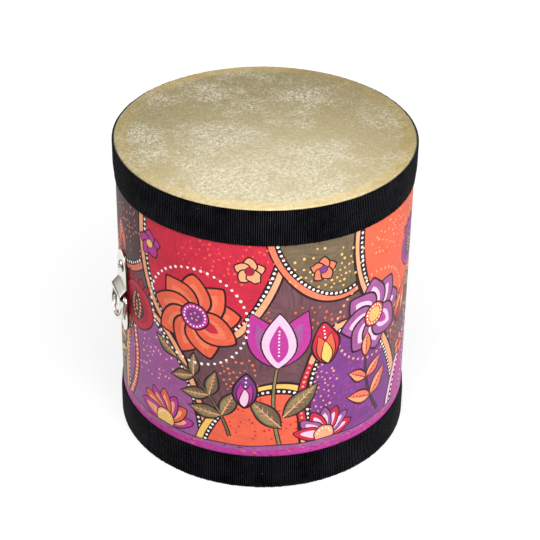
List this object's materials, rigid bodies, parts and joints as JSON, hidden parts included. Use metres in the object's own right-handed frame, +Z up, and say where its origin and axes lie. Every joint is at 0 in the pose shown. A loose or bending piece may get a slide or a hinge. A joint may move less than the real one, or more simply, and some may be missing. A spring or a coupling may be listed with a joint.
{
  "type": "marching drum",
  "caption": "Upright cylindrical marching drum with film heads, a decorated wrap, dark ribbon rims and a side strap bracket that holds a swinging D-ring.",
  "frame": {"origin": "centre of the lower head's outer face, on the drum's axis", "axes": "+Z up along the drum's axis, -X out through the strap bracket"},
  "size_m": [0.1924, 0.1873, 0.202],
  "materials": {
    "shell": "rolled fibreboard, matt",
    "wrap": "printed sheet, satin",
    "head": "fibre-filled film, satin",
    "hoop": "plain strip",
    "ribbon": "grosgrain weave",
    "bracket": "nickel plate",
    "ring": "polished nickel plate",
    "screw": "nickel plate",
    "inner_steel": "zinc plate",
    "eyelet": "nickel plate"
  },
  "bodies": {
    "drum": {"shell": "shell", "printed_wrap": "wrap", "batter_head": "head", "resonant_head": "head", "batter_hoop": "hoop", "resonant_hoop": "hoop", "top_band": "ribbon", "bottom_band": "ribbon", "batter_glue_ring": "shell", "resonant_glue_ring": "shell", "strap_bracket": "bracket", "bracket_screw_upper": "screw", "bracket_screw_lower": "screw", "bracket_washer_upper": "inner_steel", "bracket_washer_lower": "inner_steel", "bracket_nut_upper": "inner_steel", "bracket_nut_lower": "inner_steel", "vent_eyelet": "eyelet", "vent_washer": "inner_steel"},
    "ring": {"strap_ring": "ring"}
  },
  "joints": [
    {"name": "ring_swing", "type": "hinge", "parent": "drum", "child": "ring", "pos_m": [-0.0943, 0, 0.1063], "axis": [0, 1, 0], "range_deg": [0, 158]}
  ]
}
